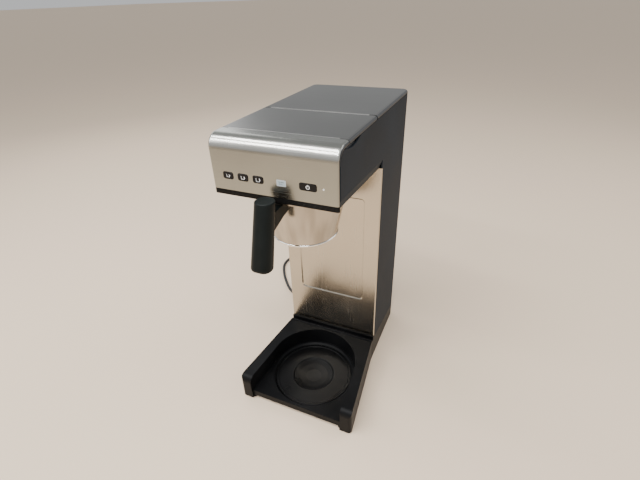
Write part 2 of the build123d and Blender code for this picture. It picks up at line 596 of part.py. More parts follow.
def filter_basket():
    """Brew basket: bowl, flange that slides in the rails, drip spout, ring, handle and its screws."""
    outer = basket_wall(0)
    inner = basket_wall(BASKET_WALL)
    top = FLANGE_BOTTOM_Z + FLANGE_THICKNESS
    floor = BASKET_BOTTOM_Z + 1.2
    inner_foot = (inner[0][0] + 0.2, floor)
    edges = [
        Line((0, BASKET_BOTTOM_Z), outer[0]),
        Spline(*outer, tangents=[(0.1, 1), (0, 1)]),
        Line(outer[-1], (BASKET_TOP_R, top)),
        Line((BASKET_TOP_R, top), (BASKET_TOP_R - BASKET_WALL, top)),
        Line((BASKET_TOP_R - BASKET_WALL, top), inner[-1]),
        Spline(inner[-1], inner[3], inner[2], inner[1], inner_foot, tangents=[(0, -1), (-0.1, -1)]),
        Line(inner_foot, (0, floor)),
        Line((0, floor), (0, BASKET_BOTTOM_Z)),
    ]
    bowl = Pos(0, BREW_Y, 0) * revolve(Plane.XZ * make_face(edges), Axis.Z)
    flange = Pos(0, BREW_Y, FLANGE_BOTTOM_Z) * extrude(Circle(FLANGE_R), FLANGE_THICKNESS)
    flange &= block(-FLANGE_HALF_WIDTH, FLANGE_HALF_WIDTH, -FAR, FAR, 0, FAR)
    flange -= Pos(0, BREW_Y, 0) * extrude(Circle(BASKET_TOP_R - BASKET_WALL), FAR)
    basket = bowl + flange
    basket += Pos(0, BREW_Y, BASKET_BOTTOM_Z - SPOUT_LENGTH) * extrude(Circle(SPOUT_R), SPOUT_LENGTH)
    basket -= Pos(0, BREW_Y, BASKET_BOTTOM_Z - SPOUT_LENGTH - 1) * extrude(Circle(SPOUT_BORE_R), SPOUT_LENGTH + 9)
    arm_end = BREW_Y - BASKET_TOP_R
    screw_at = [(x, FLANGE_BOTTOM_Z - 7.4) for x in (-4.5, 4.5)]
    head_y = arm_end + BASKET_WALL + 0.6
    screws = []
    for x, z in screw_at:
        basket -= rod(SCREW_SHANK_R + 0.1, (x, arm_end - 3, z), (x, arm_end + 5, z))
        screw = rod(SCREW_HEAD_R, (x, head_y, z), (x, head_y + SCREW_HEAD_HEIGHT, z))
        screws.append(screw + rod(SCREW_SHANK_R, (x, head_y, z), (x, arm_end - 14, z)))
    save("filter_basket", basket)
    save("handle_screws", *screws)
    ring_r = BASKET_BOTTOM_R - BASKET_RING_R + 0.8
    ring = Pos(ring_r, BASKET_BOTTOM_Z - 1.9) * RectangleRounded(2 * BASKET_RING_R + 0.6, 3.8, 1.5)
    save("basket_base_ring", Pos(0, BREW_Y, 0) * revolve(Plane.XZ * ring, Axis.Z))
    lean = Vector(0, GRIP_BOTTOM_Y - GRIP_TOP_Y, GRIP_BOTTOM_Z - GRIP_TOP_Z)
    top_face = Pos(0, GRIP_TOP_Y, GRIP_TOP_Z) * RectangleRounded(2 * GRIP_TOP_R + 2, 2 * GRIP_TOP_R, GRIP_TOP_R - 0.5)
    end_face = Pos(0, GRIP_BOTTOM_Y, GRIP_BOTTOM_Z) * RectangleRounded(
        2 * GRIP_BOTTOM_HALF_WIDTH, 2 * GRIP_BOTTOM_HALF_DEPTH, GRIP_BOTTOM_HALF_DEPTH - 1
    )
    grip = loft([top_face, end_face])
    grip = fillet(grip.edges().group_by(Axis.Z)[0], GRIP_EDGE_R)
    grip = fillet(grip.edges().group_by(Axis.Z)[-1], 1.5)
    arm_start = GRIP_TOP_Y - 4
    arm = side_profile(
        [
            (arm_start, ARM_TOP_Z),
            (arm_end + 6, ARM_TOP_Z),
            (arm_end + 6, ARM_TOP_Z - ARM_END_DEPTH),
            (arm_end - 14, ARM_TOP_Z - ARM_END_DEPTH - 3),
            (arm_start, ARM_TOP_Z - ARM_DEPTH),
        ],
        -ARM_WIDTH / 2,
        ARM_WIDTH / 2,
    )
    arm = fillet([e for e in arm.edges().filter_by(Axis.X) if abs(e.center().Z - ARM_TOP_Z + ARM_END_DEPTH + 3) < 0.1], ARM_UNDER_R)
    arm -= Pos(0, BREW_Y, 0) * extrude(Circle(BASKET_TOP_R), FAR)
    handle = grip + arm
    for x, z in screw_at:
        handle -= rod(SCREW_SHANK_R + 0.05, (x, arm_end + 5, z), (x, arm_end - 15, z))
    save("basket_handle", handle.solids().sort_by(SortBy.VOLUME)[-1])


def head_parts():
    """Black trim, head floor with the recess for the basket flange, slide rails and spray head."""
    wide = HALF + 2
    trim = PLASTIC_SKIN & block(-wide, wide, -FAR, HEAD_FRONT_Y + PANEL_WALL, 0, FRONT_SHEET_BOTTOM_Z - SMALL_GAP)
    rib_z = HEAD_BOTTOM_FRONT_Z + TRIM_HEIGHT / 2 - 0.2
    for side in (-1, 1):
        for i in range(9):
            x = side * (HALF - 9.5 - i * 8)
            rib = block(x - 1.1, x + 1.1, HEAD_FRONT_Y - 0.8, HEAD_FRONT_Y + 0.5, rib_z - 2.9, rib_z + 2.9)
            trim += rib.rotate(Axis((x, HEAD_FRONT_Y, rib_z), (0, 1, 0)), 50)
    save("front_trim", trim)
    x_in = HALF - BEVEL_DEPTH - PANEL_WALL - SMALL_GAP
    roof = HEAD_ROOF_Z
    floor = OUTER & block(-x_in, x_in, HEAD_FRONT_Y + PANEL_WALL + SMALL_GAP, COLUMN_FRONT_Y - SMALL_GAP, 0, roof)
    rail_x = FLANGE_HALF_WIDTH + FLANGE_GAP
    floor -= block(-rail_x - 2, rail_x + 2, -FAR, BREW_Y + FLANGE_R + 2, 0, roof - HEAD_ROOF_WALL)
    floor -= block(-x_in + 3, x_in - 3, BREW_Y + FLANGE_R + 5, COLUMN_FRONT_Y - 3, HEAD_BOTTOM_REAR_Z + 5, FAR)
    floor -= Pos(0, BREW_Y, 0) * extrude(Circle(SPRAY_NECK_R + 0.2), FAR)
    save("head_underside", floor.solids().sort_by(SortBy.VOLUME)[-1])
    low = FLANGE_BOTTOM_Z - 0.15
    rail_front, rail_rear = HEAD_FRONT_Y + 21, BREW_Y + FLANGE_R - 2
    for side, name in ((-1, "left_basket_rail"), (1, "right_basket_rail")):
        web0, web1 = sorted((side * rail_x, side * (rail_x + RAIL_THICKNESS)))
        lip0, lip1 = sorted((side * (rail_x - RAIL_LIP), side * (rail_x + RAIL_THICKNESS)))
        hang = roof - HEAD_ROOF_WALL
        rail = block(web0, web1, rail_front, rail_rear, low - RAIL_THICKNESS, hang)
        rail += block(lip0, lip1, rail_front, rail_rear, low - RAIL_THICKNESS, low)
        rail += block(lip0, lip1, rail_front, rail_rear, hang - RAIL_THICKNESS, hang)
        save(name, rail)
    spray = Pos(0, BREW_Y, SPRAY_BOTTOM_Z) * extrude(Circle(SPRAY_R), 3)
    spray += Pos(0, BREW_Y, SPRAY_BOTTOM_Z + 1) * extrude(Circle(SPRAY_NECK_R), 19)
    holes = [
        Pos(0, BREW_Y, SPRAY_BOTTOM_Z - 8) * Rot(0, 0, 360 * k / n) * Pos(r, 0) * extrude(Circle(1.0), 11)
        for r, n in ((10, 6), (20, 10))
        for k in range(n)
    ]
    spray -= Pos(0, BREW_Y, SPRAY_BOTTOM_Z + 1.6) * extrude(Circle(8), 15)
    spray -= holes
    neck_y = BREW_Y + SPRAY_NECK_R - 2
    spray += rod(HOSE_R - 0.2, (0, neck_y, HOSE_Z), (0, neck_y + 6, HOSE_Z))
    spray += rod(HOSE_BORE_R - 0.05, (0, neck_y, HOSE_Z), (0, neck_y + 22, HOSE_Z))
    spray -= rod(2.6, (0, BREW_Y, HOSE_Z), (0, neck_y + 30, HOSE_Z))
    save("spray_head", spray)


def control(name, x, width):
    """One button cap with its retaining flange and stem."""
    cap = rounded_bar(width, BUTTON_HEIGHT, BUTTON_CORNER_R, x, CONTROL_Z, HEAD_FRONT_Y - BUTTON_PROUD, HEAD_FRONT_Y + 2.4)
    cap = fillet(cap.edges().group_by(Axis.Y)[0], 0.5)
    inner = HEAD_FRONT_Y + STEEL + 0.1
    cap += rounded_bar(width + 2.4, BUTTON_HEIGHT + 2.4, BUTTON_CORNER_R, x, CONTROL_Z, inner, inner + BUTTON_FLANGE)
    cap += rod(BUTTON_STEM_R, (x, inner, CONTROL_Z), (x, HEAD_FRONT_Y + BOARD_GAP - 2.6, CONTROL_Z))
    save(name, cap)


def controls():
    """Buttons, display, lamp and the board behind them."""
    for name, x in zip(("brew_button_left", "brew_button_middle", "brew_button_right"), BREW_BUTTON_X):
        control(name, x, BREW_BUTTON_WIDTH)
    control("power_button", POWER_BUTTON_X, POWER_BUTTON_WIDTH)
    board_y = HEAD_FRONT_Y + STEEL + BOARD_GAP
    glass_back = HEAD_FRONT_Y + 2.2
    save("display_window", rounded_bar(DISPLAY_WIDTH, DISPLAY_HEIGHT, 1.0, DISPLAY_X, CONTROL_Z, HEAD_FRONT_Y - 0.2, glass_back))
    save("display_module", rounded_bar(DISPLAY_WIDTH + 6, DISPLAY_HEIGHT + 5, 1.0, DISPLAY_X, CONTROL_Z, glass_back, board_y))
    lamp = rod(LAMP_R, (LAMP_X, HEAD_FRONT_Y - 0.4, CONTROL_Z), (LAMP_X, board_y - 3, CONTROL_Z))
    save("status_lamp", lamp + block(LAMP_X - 2, LAMP_X + 2, board_y - 3, board_y, CONTROL_Z - 2, CONTROL_Z + 2))
    save("display_board", block(-82, 84, board_y, board_y + BOARD_THICKNESS, CONTROL_Z - 12, CONTROL_Z + 12))
    switches = [
        block(x - 3, x + 3, board_y - 2.0, board_y, CONTROL_Z - 3, CONTROL_Z + 3) for x in BREW_BUTTON_X + [POWER_BUTTON_X]
    ]
    save("button_switches", *switches)


def hose(name, radius, *points):
    """A flexible hose along rounded corners."""
    path = FilletPolyline(*points, radius=radius)
    start = Plane(origin=points[0], z_dir=Vector(*points[1]) - Vector(*points[0]))
    tube = sweep(start * Circle(HOSE_R), path=path) - sweep(start * Circle(HOSE_BORE_R), path=path)
    save(name, tube)


def water_system():
    """Tank, valve, heater, hoses and the two temperature cut-outs."""
    front = LID_FRONT_Y + TANK_FRONT_GAP
    rim = LID_PIVOT_Z - LID_BARREL_R - TANK_RIM_GAP
    half_tank = HALF - 13.5
    tank = block(-half_tank, half_tank, front, TANK_REAR_Y, TANK_BOTTOM_Z, rim)
    tank = fillet(tank.edges().filter_by(Axis.Z), 12)
    inside = block(-half_tank + TANK_WALL, half_tank - TANK_WALL, front + TANK_WALL, TANK_REAR_Y - TANK_WALL, TANK_BOTTOM_Z + TANK_WALL, rim + 9)
    tank -= fillet(inside.edges().filter_by(Axis.Z), 12 - TANK_WALL)
    for side in (-1, 1):
        x0, x1 = sorted((side * half_tank, side * (half_tank + 6)))
        tank += block(x0, x1, front + 20, TANK_REAR_Y - 20, rim - 2, rim)
    tank -= Pos(OUTLET_X, OUTLET_Y, TANK_BOTTOM_Z - 1) * extrude(Circle(5), 9)
    save("water_tank", tank)
    valve = Pos(OUTLET_X, OUTLET_Y, TANK_BOTTOM_Z - 14) * extrude(Circle(11), 14)
    valve += Pos(OUTLET_X, OUTLET_Y, TANK_BOTTOM_Z - 32) * extrude(Circle(HOSE_BORE_R - 0.05), 20)
    valve += Pos(OUTLET_X, OUTLET_Y, TANK_BOTTOM_Z - 1) * extrude(Circle(4.9), 3)
    valve -= Pos(OUTLET_X, OUTLET_Y, TANK_BOTTOM_Z - 40) * extrude(Circle(2.4), 60)
    save("tank_valve", valve)
    half = HEATER_LENGTH / 2
    heater = rod(HEATER_R, (-half, HEATER_Y, HEATER_Z), (half, HEATER_Y, HEATER_Z))
    heater = chamfer(heater.edges().filter_by(GeomType.CIRCLE), 3)
    for x in (-NIPPLE_X, NIPPLE_X):
        heater += rod(7, (x, HEATER_Y, HEATER_Z), (x, HEATER_Y, HEATER_Z + HEATER_R + 4))
        heater += rod(HOSE_BORE_R - 0.05, (x, HEATER_Y, HEATER_Z), (x, HEATER_Y, HEATER_Z + HEATER_R + 24))
        heater -= rod(2.4, (x, HEATER_Y, HEATER_Z), (x, HEATER_Y, HEATER_Z + HEATER_R + 30))
    heater -= rod(5, (-half + 8, HEATER_Y, HEATER_Z), (half - 8, HEATER_Y, HEATER_Z))
    for x in (-40, 40):
        heater += block(x - 6, x + 6, HEATER_Y - 4, HEATER_Y + 4, HEATER_Z - HEATER_R - 14, HEATER_Z - HEATER_R + 4)
        heater += block(x - 6, x + 6, HEATER_Y - 14, HEATER_Y + 14, HEATER_Z - HEATER_R - 16, HEATER_Z - HEATER_R - 13)
    heater += block(-24, 24, HEATER_Y - HEATER_R - 2, HEATER_Y - HEATER_R + 5, HEATER_Z - 9, HEATER_Z + 9)
    save("flow_heater", heater)
    flat = HEATER_Y - HEATER_R - 2
    save("thermostat", rod(7, (-13, flat - 9, HEATER_Z), (-13, flat, HEATER_Z)) + block(-16, -10, flat - 16, flat - 9, HEATER_Z - 4, HEATER_Z + 4))
    save("thermal_fuse", block(4, 20, flat - 4, flat, HEATER_Z - 7, HEATER_Z + 7) + rod(2.2, (0, flat - 6, HEATER_Z), (24, flat - 6, HEATER_Z)))
    nipple = HEATER_Z + HEATER_R + 4
    hose("cold_water_hose", 14, (OUTLET_X, OUTLET_Y, TANK_BOTTOM_Z - 14), (OUTLET_X, OUTLET_Y, TANK_BOTTOM_Z - 64), (-NIPPLE_X, HEATER_Y, TANK_BOTTOM_Z - 104), (-NIPPLE_X, HEATER_Y, nipple))
    hose(
        "riser_hose",
        22,
        (NIPPLE_X, HEATER_Y, nipple),
        (NIPPLE_X, HEATER_Y, HOSE_Z - 52),
        (NIPPLE_X - 8, HEATER_Y - 46, HOSE_Z),
        (0, HEATER_Y - 90, HOSE_Z),
        (0, BREW_Y + SPRAY_NECK_R + 4, HOSE_Z),
    )


def chassis():
    """Inner steel frame: two side plates and cross members that carry tank, heater, board and lid pin."""
    plates = []
    x0 = CHASSIS_X
    outline = [
        (PANEL_FRONT_Y + 6, HEAD_BOTTOM_FRONT_Z + 19),
        (PANEL_FRONT_Y + 6, SIDE_TOP_Z - 5),
        (PIVOT_Y - 8, SIDE_TOP_Z - 5),
        (PIVOT_Y - LID_EAR_R, LID_PIVOT_Z - 1),
        (PIVOT_Y - LID_EAR_R, LID_PIVOT_Z),
        (PIVOT_Y + LID_EAR_R, LID_PIVOT_Z),
        (PIVOT_Y + LID_EAR_R, SIDE_TOP_Z - 5),
        (REAR_Y - 16, SIDE_TOP_Z - 5),
        (REAR_Y - 16, DECK_Z + 5),
        (COLUMN_FRONT_Y + 16, DECK_Z + 5),
        (COLUMN_FRONT_Y + 16, HEAD_BOTTOM_FRONT_Z + 19),
    ]
    for a in (-x0 - 1.2, x0):
        plate = side_profile(outline, a, a + 1.2)
        plate += rod(LID_EAR_R, (a, PIVOT_Y, LID_PIVOT_Z), (a + 1.2, PIVOT_Y, LID_PIVOT_Z))
        plate -= block(a - 1, a + 2, COLUMN_FRONT_Y + 36, REAR_Y - 34, DECK_Z + 33, BOARD_Z - 10)
        plate -= block(a - 1, a + 2, COLUMN_FRONT_Y + 36, REAR_Y - 34, BOARD_Z + 20, HEIGHT - 105)
        plate -= block(a - 1, a + 2, HEAD_FRONT_Y + 29, PIVOT_Y - 24, HEIGHT - 55, HEIGHT - 25)
        plate -= rod(LID_PIN_R + PIN_CLEARANCE, (a - 1, PIVOT_Y, LID_PIVOT_Z), (a + 3, PIVOT_Y, LID_PIVOT_Z))
        plates.append(plate)
    low_z = HEATER_Z - HEATER_R - 16
    bars = [
        block(-x0, x0, 64.5, REAR_Y - 18, low_z - 1.2, low_z),
        block(-x0, x0, REAR_Y - 20, REAR_Y - 18.8, BOARD_Z - 10, BOARD_Z + 20),
        block(-x0, x0, REAR_Y - 20, REAR_Y - 18.8, HEIGHT - 105, HEIGHT - 75),
        block(-x0, x0, PANEL_FRONT_Y + 16, PANEL_FRONT_Y + 28, HEAD_BOTTOM_FRONT_Z + 21, HEAD_BOTTOM_FRONT_Z + 22.2),
        block(-x0, x0, COLUMN_FRONT_Y + 18, COLUMN_FRONT_Y + 28, TANK_BOTTOM_Z - 1.3, TANK_BOTTOM_Z - 0.1),
    ]
    frame = plates[0] + plates[1]
    for bar in bars:
        frame += bar
    save("chassis_frame", frame)
    pin = rod(LID_PIN_R, (-x0 - 1.6, PIVOT_Y, LID_PIVOT_Z), (x0 + 1.6, PIVOT_Y, LID_PIVOT_Z))
    save("lid_hinge_pin", pin)
    board_x = -x0
    board = block(board_x + 6, board_x + 7.6, BOARD_FRONT_Y, BOARD_FRONT_Y + 92, BOARD_Z, BOARD_Z + 110)
    corners = [(BOARD_FRONT_Y + b, BOARD_Z + c) for b in (6, 86) for c in (6, 104)]
    posts = [rod(2.5, (board_x, y, z), (board_x + 6, y, z)) for y, z in corners]
    y0, z0, face = BOARD_FRONT_Y, BOARD_Z, board_x + 7.6
    bits = [
        block(face, face + 19.4, y0 + 10, y0 + 38, z0 + 12, z0 + 46),
        block(face, face + 14.4, y0 + 46, y0 + 76, z0 + 12, z0 + 40),
        rod(8, (face, y0 + 20, z0 + 80), (face + 20.4, y0 + 20, z0 + 80)),
        rod(6, (face, y0 + 44, z0 + 80), (face + 14.4, y0 + 44, z0 + 80)),
        block(face, face + 10.4, y0 + 60, y0 + 86, z0 + 68, z0 + 96),
    ]
    for item in bits:
        board += item
    save("control_board", board)
    save("board_spacers", *posts)


CORD_ROUTE = [
    (-HALF + 9.5, CORD_EXIT_Y, CORD_EXIT_Z),
    (-146.0, CORD_EXIT_Y, CORD_EXIT_Z),
    (-180.0, 184.0, 6.5),
    (-207.0, 213.0, CORD_R),
    (-238.0, 253.0, CORD_R),
    (-262.0, 300.0, CORD_R),
    (-250.0, 352.0, CORD_R),
    (-205.0, COIL_Y + COIL_OUTER_R, CORD_R + COIL_LIFT),
    (COIL_X - 7.0, COIL_Y + COIL_OUTER_R, CORD_R + COIL_LIFT),
]


def corner_radii(points):
    """Bend radius at each inner point of a hand-placed route."""
    radii = []
    for a, b, c in zip(points, points[1:], points[2:]):
        first, second = Vector(*b) - Vector(*a), Vector(*c) - Vector(*b)
        turn = math.radians(first.get_angle(second))
        radii.append(0.45 * min(first.length, second.length) / math.tan(turn / 2))
    return radii


def tube(path, start, direction, radius):
    section = Plane(origin=start, z_dir=direction) * Circle(radius)
    return sweep(section, path=path)


def mains_lead():
    """Strain relief, lead, coil with tie, and the angled plug."""
    x_out = -HALF - GLAND_LENGTH
    gland = rod(7, (-HALF + 3, CORD_EXIT_Y, CORD_EXIT_Z), (-HALF - 3, CORD_EXIT_Y, CORD_EXIT_Z))
    gland += rod(9.5, (-HALF, CORD_EXIT_Y, CORD_EXIT_Z), (-HALF - 2, CORD_EXIT_Y, CORD_EXIT_Z))
    cone = Plane(origin=(-HALF - 2, CORD_EXIT_Y, CORD_EXIT_Z), z_dir=(-1, 0, 0))
    taper = math.degrees(math.atan(2.0 / (GLAND_LENGTH - 2)))
    gland += extrude(cone * Circle(6.8), GLAND_LENGTH - 2, taper=taper)
    gland -= rod(CORD_R + 0.05, (-HALF + 5, CORD_EXIT_Y, CORD_EXIT_Z), (x_out - 1, CORD_EXIT_Y, CORD_EXIT_Z))
    save("cord_strain_relief", gland)
    radii = corner_radii(CORD_ROUTE)
    path = FilletPolyline(*CORD_ROUTE, radius=radii)
    cord = tube(path, CORD_ROUTE[0], (-1, 0, 0), CORD_R)
    save("mains_cord", cord)
    print("cord radii", [round(r, 1) for r in radii])
    print("cord volume ratio", round(cord.volume / (math.pi * CORD_R**2 * path.length), 4), "length", round(path.length, 1))
    # coil: two layers of half turns, inward on the floor, up during one half turn, outward on top
    low, high = CORD_R + COIL_LIFT, CORD_R + COIL_LIFT + COIL_LAYER_RISE
    at = Vector(COIL_X, COIL_Y + COIL_OUTER_R, low)
    heading = Vector(1, 0, 0)
    start = at - heading * 7.0
    edges = [Line(start, at)]
    radius = COIL_OUTER_R
    down = -1
    for k in range(2 * COIL_TURNS):
        end = Vector(COIL_X, at.Y + down * 2 * radius, low)
        edges.append(TangentArc(at, end, tangent=heading))
        at, heading, down = end, heading * -1, -down
        radius -= COIL_STEP / 2
    reach = math.sqrt(radius**2 + (COIL_LAYER_RISE / 2) ** 2)
    middle = Vector(COIL_X + heading.X * reach, at.Y + down * radius, (low + high) / 2)
    edges.append(TangentArc(at, middle, tangent=heading))
    climb = Vector(0, down * radius, COIL_LAYER_RISE / 2)
    end = Vector(COIL_X, at.Y + down * 2 * radius, high)
    edges.append(TangentArc(middle, end, tangent=climb))
    at, heading, down = end, heading * -1, -down
    for k in range(2 * COIL_TURNS - 1):
        radius += COIL_STEP / 2
        end = Vector(COIL_X, at.Y + down * 2 * radius, high)
        edges.append(TangentArc(at, end, tangent=heading))
        at, heading, down = end, heading * -1, -down
    tail = at + heading * 60
    edges.append(Line(at, tail))
    wire = Wire(edges)
    coil = tube(wire, start, (1, 0, 0), CORD_R)
    save("cord_coil", coil)
    count = 500
    points = [wire.position_at(i / count) for i in range(count + 1)]
    step = wire.length / count
    skip = int(40 / step)
    least = min((points[i] - points[j]).length for i in range(count) for j in range(i + skip, count + 1))
    print("coil least gap", round(least - 2 * CORD_R, 2), "length", round(wire.length, 1), "height", round(at.Z, 2))
    print("coil volume ratio", round(coil.volume / (math.pi * CORD_R**2 * wire.length), 4), "tail", tail)
    plug(tail)
    tie_x0, tie_x1 = COIL_X - 54, COIL_X - 26
    tie_top = high + CORD_R + 0.6
    band = block(tie_x0, tie_x1, COIL_Y - 8, COIL_Y + 8, 0, tie_top + 1)
    band -= block(tie_x0 + 1, tie_x1 - 1, COIL_Y - 9, COIL_Y + 9, 1.0, tie_top)
    save("cord_tie", band)


def plug(entry):
    """Angled earthed mains plug lying on its back, pins up."""
    centre = entry + Vector(36, 0, 0)
    body = Pos(centre.X, centre.Y, 0) * extrude(Circle(18.5), 24)
    body = fillet(body.edges().group_by(Axis.Z)[0], 5)
    neck = Plane(origin=(centre.X, centre.Y, entry.Z), z_dir=(-1, 0, 0))
    body += extrude(neck * Circle(9.5), 36, taper=math.degrees(math.atan(3.5 / 36)))
    for side in (-1, 1):
        y0, y1 = sorted((centre.Y + side * 16.2, centre.Y + side * 19))
        body -= block(centre.X - 3.5, centre.X + 3.5, y0, y1, 9, 25)
    body -= Pos(centre.X - 10, centre.Y, 12) * extrude(Circle(2.6), 20)
    for side in (-1, 1):
        body -= Pos(centre.X, centre.Y + side * 9.5, 12) * extrude(Circle(2.4), 20)
    save("mains_plug", body)
    metal = [Pos(centre.X, centre.Y + s * 9.5, 12) * extrude(Circle(2.4), 31) for s in (-1, 1)]
    metal = [chamfer(pin.edges().group_by(Axis.Z)[-1], 0.8) for pin in metal]
    for side in (-1, 1):
        y0, y1 = sorted((centre.Y + side * 16.2, centre.Y + side * 17.2))
        metal.append(block(centre.X - 2.5, centre.X + 2.5, y0, y1, 9, 23.5))
    save("plug_pins", *metal)


def wiring():
    """Inner wires: mains to board, board to heater, ribbon to the display board."""
    r = 1.6
    foot_x = HALF - 27.5
    supply = (-foot_x, REAR_Y - 24, HEATER_Z - 34)
    above = (-foot_x, REAR_Y - 24, BOARD_Z - 30)
    board_rear = (-CHASSIS_X + 10.3, BOARD_FRONT_Y + 88, BOARD_Z + 6)
    board_low = (-CHASSIS_X + 10.8, BOARD_FRONT_Y + 8, BOARD_Z)
    side = (-HALF + 23.5, BOARD_FRONT_Y, BOARD_Z - 40)
    over = (-30, BOARD_FRONT_Y, HEATER_Z + 40)
    sensor = (-13, BOARD_FRONT_Y, HEATER_Z + 2)
    wires = [
        tube(FilletPolyline(supply, above, board_rear, radius=12), supply, (0, 0, 1), r),
        tube(FilletPolyline(board_low, side, over, sensor, radius=10), board_low, Vector(*side) - Vector(*board_low), r),
    ]
    save("inner_wires", *wires)
    board_y = HEAD_FRONT_Y + STEEL + BOARD_GAP + BOARD_THICKNESS
    ribbon = block(-20, 0, board_y, board_y + 3, CONTROL_Z - 10, CONTROL_Z - 6)
    save("display_connector", ribbon)


side_panels()
top_sheets()
rear_cover()
splash_plate()
base()
drip_disc()
filter_basket()
head_parts()
controls()
water_system()
chassis()
mains_lead()
wiring()
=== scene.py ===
import math

import bpy
from mathutils import Matrix, Vector


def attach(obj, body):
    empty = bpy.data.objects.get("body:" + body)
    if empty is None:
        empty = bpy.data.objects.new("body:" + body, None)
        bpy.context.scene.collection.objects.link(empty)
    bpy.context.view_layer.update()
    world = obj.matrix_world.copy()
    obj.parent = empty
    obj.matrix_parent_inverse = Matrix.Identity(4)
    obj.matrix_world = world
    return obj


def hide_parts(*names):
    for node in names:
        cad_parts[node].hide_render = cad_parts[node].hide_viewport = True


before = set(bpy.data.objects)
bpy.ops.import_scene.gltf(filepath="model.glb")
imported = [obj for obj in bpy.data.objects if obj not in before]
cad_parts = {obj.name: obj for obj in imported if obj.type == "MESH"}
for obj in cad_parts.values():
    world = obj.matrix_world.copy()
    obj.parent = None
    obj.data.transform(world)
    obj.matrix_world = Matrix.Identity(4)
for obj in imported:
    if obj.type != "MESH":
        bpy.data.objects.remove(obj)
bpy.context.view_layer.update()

# Camera fitted to the photograph: its place in metres, then turn, tilt and roll in degrees
CAMERA_AT = (0.26531, -0.57892, 0.70115)
CAMERA_TURN = (24.67, 31.37, -2.11)
SENSOR_WIDTH = 36
FOCAL_PIXELS = 403.83
PHOTO_WIDTH = 640

# The lead's route and its coil, as in part.py, in metres
CORD_RADIUS = 0.0035
CORD_ROUTE = [
    (-0.088, 0.158, 0.020),
    (-0.146, 0.158, 0.020),
    (-0.180, 0.184, 0.0065),
    (-0.207, 0.213, 0.0035),
    (-0.238, 0.253, 0.0035),
    (-0.262, 0.300, 0.0035),
    (-0.250, 0.352, 0.0035),
    (-0.205, 0.380, 0.0047),
    (-0.161, 0.380, 0.0047),
]
COIL_CENTRE = (-0.154, 0.334)
COIL_OUTER = 0.046
COIL_STEP = 0.0077
COIL_LOW, COIL_HIGH = 0.0047, 0.0124
HALF_TURNS_IN, HALF_TURNS_OUT = 4, 3
POINTS_IN_HALF_TURN = 8
COIL_TAIL = (0.02, 0.06)

# Places on the head that the finishes follow, in metres
HEAD_FRONT = -0.149
LID_FRONT, LID_REAR = -0.113, 0.0062
LID_REAR_GAP = 0.0024
SEAM_HALF_WIDTH = 0.0012
SEAM_HALF_LENGTH = 0.084
BEND_LOW, BEND_HIGH = 0.525, 0.5425
BEND_SOFT_LOW, BEND_SOFT_HIGH = 0.006, 0.002
TOP_EDGE, FACE_EDGE = 0.0951, 0.0962

# Signs on the buttons, in metres: each cup's place and half width, then the on-off ring and its stroke
CONTROL_Z = 0.489
CAP_PROUD = 0.0005
CUPS = ((-0.069, 0.0023), (-0.045, 0.0026), (-0.021, 0.0029))
CUP_DROP, CUP_LINE = 0.0002, 0.0006
EAR_GAP, EAR_HALF_WIDTH = 0.0004, 0.0005
POWER_X = 0.0535
RING_RADIUS, RING_HALF_LINE, RING_HALF_GAP = 0.0024, 0.0004, 0.0009
STROKE_UP, STROKE_HALF_HEIGHT, STROKE_HALF_WIDTH = 0.0019, 0.0016, 0.00035

# Display, in metres: its place and half size, then each row's height, middle and half width
DISPLAY_X = 0.0145
DISPLAY_HALF_WIDTH, DISPLAY_HALF_HEIGHT = 0.0058, 0.0034
DISPLAY_ROWS = ((0.0014, 0.0, 0.004), (-0.0012, -0.001, 0.0028))
ROW_HALF_HEIGHT = 0.0007

# Brushed streaks: the axis they follow, and cells in a metre across them and along them
ACROSS, UPRIGHT = 0, 2
STREAKS_ACROSS, STREAKS_ALONG = 900.0, 14.0

# Height of a streak and of a moulded grain where their depth is 1, in metres
STREAK_HEIGHT, GRAIN_HEIGHT = 0.0001, 0.00015

# Studio: floor, world light, and each lamp's name, place, width, depth and power
FLOOR_SIZE = 160
WORLD_COLOR = (0.86, 0.87, 0.88)
WORLD_STRENGTH = 0.66
LAMPS_AIM = (0, 0, 0.28)
LAMPS = (
    ("strip_near", (-0.3, -1.5, 2.1), 2.4, 0.12, 44),
    ("strip_far", (-0.2, -0.75, 2.2), 2.4, 0.14, 36),
    ("key", (-1.5, -0.9, 1.5), 0.9, 0.9, 9),
    ("rear_right", (1.4, 1.1, 1.4), 1.2, 1.2, 10),
    ("rear_left", (-1.6, 1.1, 1.3), 1.2, 1.2, 8),
)


def add_object(name, data):
    made = bpy.data.objects.new(name, data)
    bpy.context.collection.objects.link(made)
    return made


def make_camera():
    turn, tilt, roll = (math.radians(a) for a in CAMERA_TURN)
    level = math.cos(tilt)
    ahead = Vector((-math.sin(turn) * level, math.cos(turn) * level, -math.sin(tilt)))
    right = Vector((math.cos(turn), math.sin(turn), 0))
    up = right.cross(ahead)
    across = right * math.cos(roll) + up * math.sin(roll)
    upward = up * math.cos(roll) - right * math.sin(roll)
    data = bpy.data.cameras.new("camera")
    data.sensor_width = SENSOR_WIDTH
    data.lens = SENSOR_WIDTH * FOCAL_PIXELS / PHOTO_WIDTH
    camera = add_object("camera", data)
    facing = Matrix((across, upward, -ahead)).transposed().to_4x4()
    camera.matrix_world = Matrix.Translation(CAMERA_AT) @ facing
    bpy.context.scene.camera = camera


